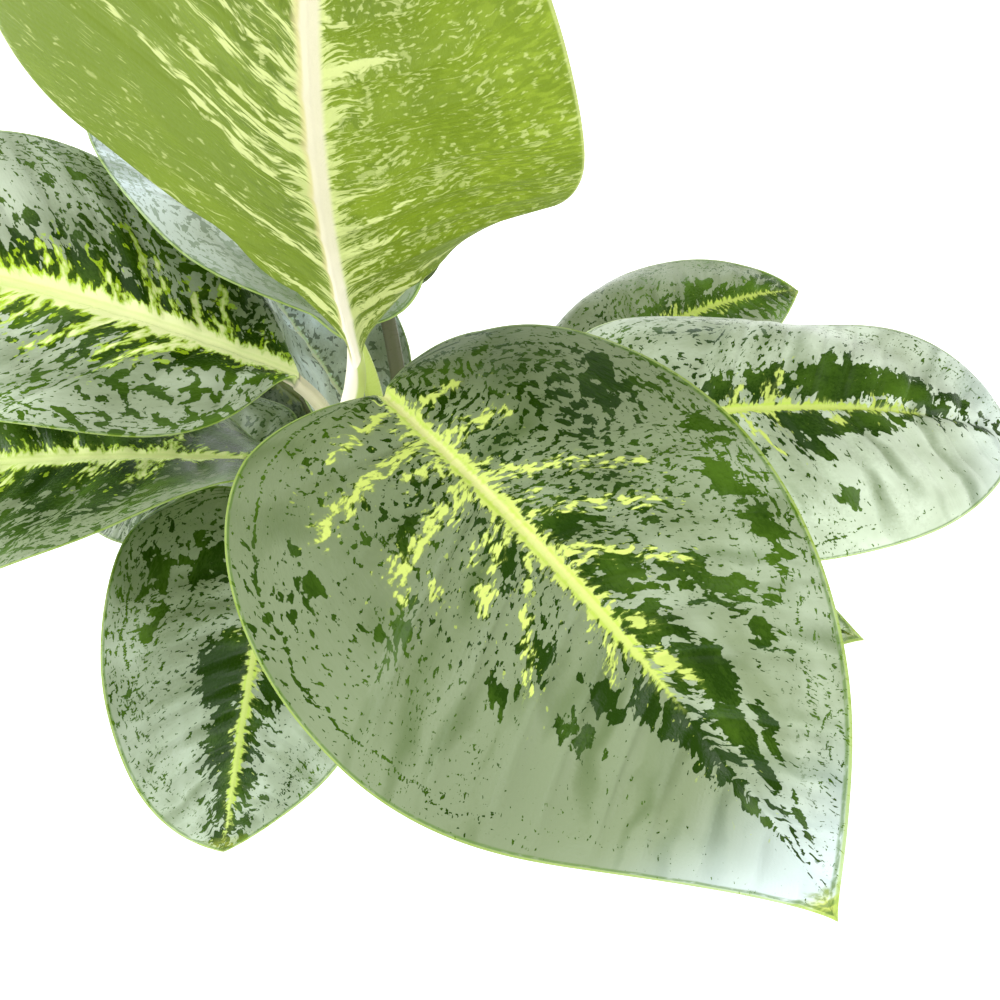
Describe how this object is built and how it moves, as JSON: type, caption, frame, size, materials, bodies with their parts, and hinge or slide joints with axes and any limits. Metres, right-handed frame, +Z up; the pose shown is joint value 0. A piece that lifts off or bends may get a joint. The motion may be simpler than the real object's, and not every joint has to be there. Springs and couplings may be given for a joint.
{
  "type": "potted lemon mint chinese evergreen",
  "caption": "Foliage houseplant with broad silver-mint leaves flecked dark green along lemon midribs, on leafy stems in a plain tapered round pot of soil.",
  "frame": {"origin": "centre of the pot's flat underside", "axes": "+Z up; -Y towards the side that the picture was taken from; +X to the right in that view"},
  "size_m": [0.3983, 0.3214, 0.4437],
  "materials": {
    "pot": "matte",
    "soil": "matte",
    "stem": "satin",
    "leaf": "satin",
    "new_leaf": "satin"
  },
  "bodies": {
    "root": {"pot": "pot", "soil": "soil", "stem_main": "stem", "stem_right": "stem", "stem_left": "stem", "leaf_front": "leaf", "leaf_upright": "new_leaf", "leaf_left": "leaf", "leaf_back_left": "leaf", "leaf_back": "leaf", "leaf_left_low": "leaf", "leaf_hanging": "leaf", "leaf_right": "leaf", "leaf_right_back": "leaf", "leaf_under_front": "leaf", "leaf_under_left": "leaf", "leaf_rear": "leaf", "leaf_rear_right": "leaf", "leaf_rear_left": "leaf"}
  },
  "joints": []
}
